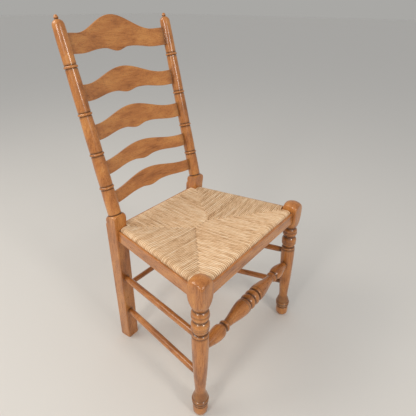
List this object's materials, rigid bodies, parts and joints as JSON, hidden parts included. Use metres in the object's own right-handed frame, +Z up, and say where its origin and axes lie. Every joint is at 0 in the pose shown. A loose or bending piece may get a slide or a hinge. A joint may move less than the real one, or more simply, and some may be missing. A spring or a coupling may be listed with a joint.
{
  "type": "ladderback side chair",
  "caption": "Wooden ladderback dining chair with turned posts, shaped and bowed slats, turned stretchers and a woven rush seat with edge strips.",
  "frame": {"origin": "on the floor under the centre of the chair's outline", "axes": "+X towards the sitter's left hand, -Y the way the sitter faces, +Z up; the plane X = 0 is the plane of symmetry"},
  "size_m": [0.572, 0.6026, 1.0879],
  "materials": {
    "stained_wood": "stained and lacquered, satin gloss, darker glaze in the grooves",
    "strip_wood": "stained and lacquered, satin gloss",
    "hidden_rail_wood": "unfinished turned hardwood",
    "rush": "twisted rush cord, matt with a slight sheen",
    "rush_stuffing": "packed rush offcuts, matt",
    "pin_steel": "plain square-cut brads"
  },
  "bodies": {
    "root": {"back_slat_1": "stained_wood", "back_slat_2": "stained_wood", "back_slat_3": "stained_wood", "back_slat_4": "stained_wood", "back_slat_5": "stained_wood", "front_leg_left": "stained_wood", "front_leg_right": "stained_wood", "front_stretcher": "stained_wood", "rear_post_left": "stained_wood", "rear_post_right": "stained_wood", "rear_stretcher": "stained_wood", "rush_seat": "rush", "seat_rail_front": "hidden_rail_wood", "seat_rail_left": "hidden_rail_wood", "seat_rail_rear": "hidden_rail_wood", "seat_rail_right": "hidden_rail_wood", "seat_strip_front": "strip_wood", "seat_strip_left": "strip_wood", "seat_strip_rear": "strip_wood", "seat_strip_right": "strip_wood", "seat_stuffing": "rush_stuffing", "side_stretcher_lower_left": "stained_wood", "side_stretcher_lower_right": "stained_wood", "side_stretcher_upper_left": "stained_wood", "side_stretcher_upper_right": "stained_wood", "strip_pins": "pin_steel"}
  },
  "joints": []
}
